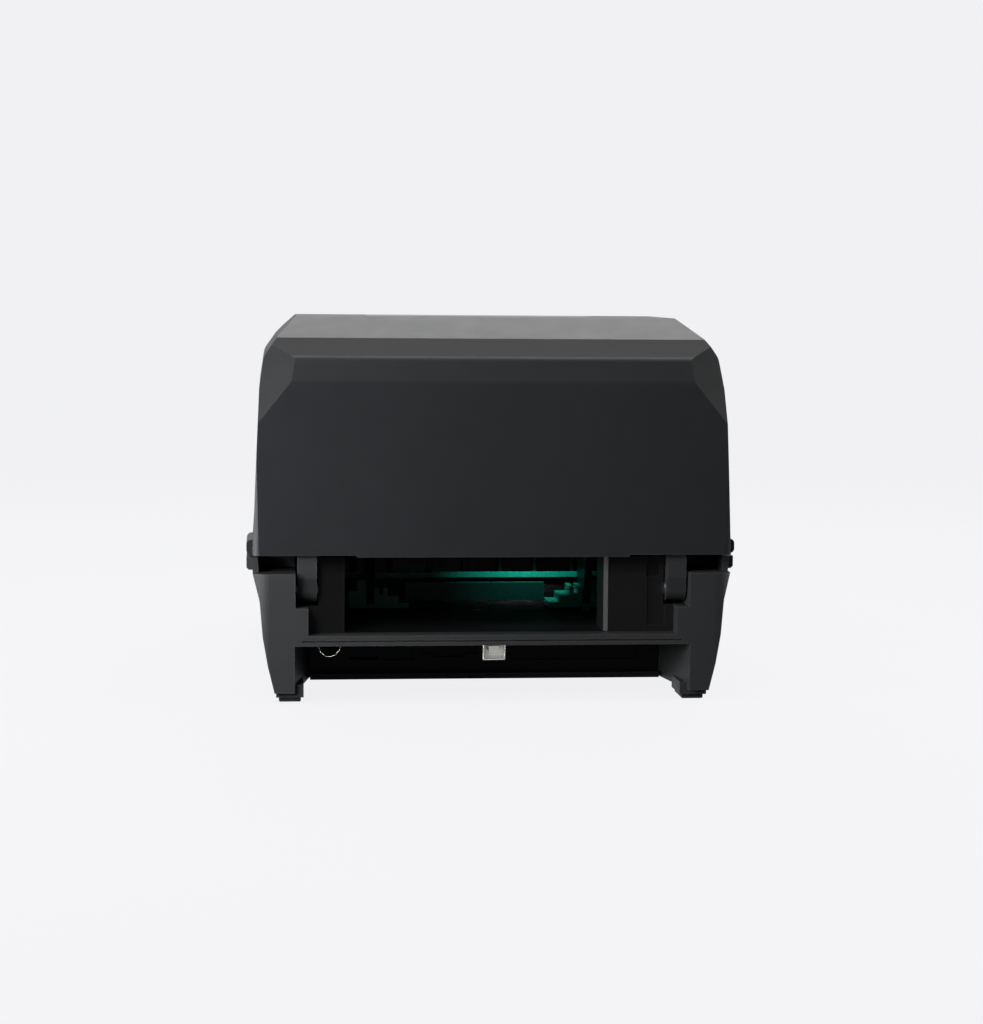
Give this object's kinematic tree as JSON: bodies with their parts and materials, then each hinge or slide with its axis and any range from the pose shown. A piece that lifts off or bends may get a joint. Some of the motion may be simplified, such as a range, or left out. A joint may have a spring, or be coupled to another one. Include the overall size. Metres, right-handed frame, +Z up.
{
  "type": "thermal label printer",
  "caption": "Desktop clamshell label printer with a lid-mounted ribbon mechanism, rear fan-fold inlet and recessed ports.",
  "frame": {"origin": "on the table, under the middle of the machine", "axes": "+X across the machine, +Y to its rear (ports and hinge), +Z up; the label leaves at -Y"},
  "size_m": [0.252, 0.312, 0.1969],
  "materials": {
    "lid_black": "satin",
    "case_black": "spark-textured",
    "tray_black": "satin",
    "smoke_window": "smoked clear",
    "teal_green": "semi-gloss",
    "steel": "brushed",
    "rubber": "matte",
    "board_green": "solder mask",
    "chip_black": "moulded",
    "aluminium": "extruded",
    "ceramic": "glazed",
    "brass": "turned",
    "gear_nylon": "moulded",
    "nickel": "plated",
    "motor_black": "painted",
    "lens_clear": "frosted"
  },
  "bodies": {
    "base": {"board_components": "chip_black", "board_posts": "brass", "bottom_plate": "case_black", "card_slot_cover": "tray_black", "case_screws": "steel", "dc_jack": "chip_black", "dc_pin": "nickel", "front_bezel": "case_black", "guide_rail": "teal_green", "hinge_pins": "steel", "idler_stud": "steel", "lan_blank": "tray_black", "lower_case": "case_black", "main_board": "board_green", "media_tray": "tray_black", "parallel_blank": "tray_black", "platen_bushes": "brass", "port_panel": "tray_black", "rack_cover": "teal_green", "rubber_feet": "rubber", "sensor_rail": "steel", "serial_blank": "tray_black", "side_plates": "steel", "status_lens": "lens_clear", "stepper_motor": "motor_black", "switch_frame": "chip_black", "tear_bar": "steel", "usb_shell": "nickel", "usb_tongue": "gear_nylon"},
    "lid": {"lid_shell": "lid_black", "lid_window": "smoke_window", "hinge_arms": "case_black", "print_frame": "tray_black", "ribbon_guide_bars": "steel", "head_springs": "steel"},
    "print_head": {"head_carrier": "steel", "printhead_heatsink": "aluminium", "printhead": "ceramic"},
    "ribbon_supply": {"ribbon_supply_spindle": "tray_black"},
    "ribbon_takeup": {"ribbon_takeup_spindle": "tray_black", "takeup_gear": "gear_nylon"},
    "ribbon_idler": {"ribbon_idler_gear": "gear_nylon"},
    "lever": {"head_lever": "teal_green"},
    "platen": {"platen_shaft": "steel", "platen_rubber": "rubber", "platen_gear": "gear_nylon"},
    "idler": {"idler_gear": "gear_nylon"},
    "motor_rotor": {"motor_pinion": "brass"},
    "guide_left": {"media_guide_plate_left": "tray_black", "media_guide_foot_left": "teal_green"},
    "guide_right": {"media_guide_plate_right": "tray_black", "media_guide_foot_right": "teal_green"},
    "guide_gear": {"guide_pinion": "gear_nylon"},
    "sensor": {"gap_sensor": "chip_black"},
    "latch_left": {"release_latch_left": "case_black"},
    "latch_right": {"release_latch_right": "case_black"},
    "feed_key": {"feed_button": "teal_green"},
    "power_key": {"power_rocker": "chip_black"}
  },
  "joints": [
    {"name": "lid_hinge", "type": "hinge", "parent": "base", "child": "lid", "pos_m": [0, 0.143, 0.057], "axis": [-1, 0, 0], "range_deg": [0, 90]},
    {"name": "head_press", "type": "slide", "parent": "lid", "child": "print_head", "axis": [0, 0, 1], "range_m": [0, 0.0015], "stiffness_N_per_m": 3000, "springref_m": -0.003, "deforming": ["head_springs"]},
    {"name": "supply_spin", "type": "hinge", "parent": "lid", "child": "ribbon_supply", "pos_m": [0, -0.038, 0.132], "axis": [1, 0, 0], "continuous": true},
    {"name": "takeup_spin", "type": "hinge", "parent": "lid", "child": "ribbon_takeup", "pos_m": [0, -0.1, 0.124], "axis": [1, 0, 0], "continuous": true},
    {"name": "ribbon_idler_spin", "type": "hinge", "parent": "lid", "child": "ribbon_idler", "pos_m": [0, -0.087, 0.14652], "axis": [1, 0, 0], "continuous": true},
    {"name": "lever_turn", "type": "hinge", "parent": "lid", "child": "lever", "pos_m": [0, -0.104, 0.109], "axis": [1, 0, 0], "range_deg": [0, 15]},
    {"name": "platen_spin", "type": "hinge", "parent": "base", "child": "platen", "pos_m": [0, -0.122, 0.066], "axis": [1, 0, 0], "continuous": true},
    {"name": "idler_spin", "type": "hinge", "parent": "base", "child": "idler", "pos_m": [0, -0.112, 0.04868], "axis": [1, 0, 0], "continuous": true},
    {"name": "motor_spin", "type": "hinge", "parent": "base", "child": "motor_rotor", "pos_m": [0, -0.08381, 0.03842], "axis": [1, 0, 0], "continuous": true},
    {"name": "guide_left_slide", "type": "slide", "parent": "base", "child": "guide_left", "axis": [-1, 0, 0], "range_m": [0, 0.038]},
    {"name": "guide_right_slide", "type": "slide", "parent": "base", "child": "guide_right", "axis": [1, 0, 0], "range_m": [0, 0.038]},
    {"name": "guide_gear_turn", "type": "hinge", "parent": "base", "child": "guide_gear", "pos_m": [0, 0.057, 0.027], "axis": [0, 0, 1], "range_deg": [-366, 3]},
    {"name": "sensor_slide", "type": "slide", "parent": "base", "child": "sensor", "axis": [1, 0, 0], "range_m": [-0.04, 0.04]},
    {"name": "latch_left_press", "type": "slide", "parent": "base", "child": "latch_left", "axis": [-1, 0, 0], "range_m": [0, 0.003], "stiffness_N_per_m": 500, "springref_m": -0.002},
    {"name": "latch_right_press", "type": "slide", "parent": "base", "child": "latch_right", "axis": [1, 0, 0], "range_m": [0, 0.003], "stiffness_N_per_m": 500, "springref_m": -0.002},
    {"name": "feed_press", "type": "slide", "parent": "base", "child": "feed_key", "axis": [0, 1, 0], "range_m": [0, 0.0012], "stiffness_N_per_m": 500, "springref_m": -0.001},
    {"name": "power_rock", "type": "hinge", "parent": "base", "child": "power_key", "pos_m": [-0.1164, 0.041, 0.027], "axis": [0, 1, 0], "range_deg": [0, 14]}
  ],
  "couplings": [
    {"joint": "platen_spin", "follows": "idler_spin", "ratio": -0.81818},
    {"joint": "motor_spin", "follows": "idler_spin", "ratio": -4},
    {"joint": "ribbon_idler_spin", "follows": "takeup_spin", "ratio": -1.6},
    {"joint": "guide_right_slide", "follows": "guide_left_slide", "ratio": 1},
    {"joint": "guide_gear_turn", "follows": "guide_left_slide", "rad_per_m": -166.67}
  ]
}
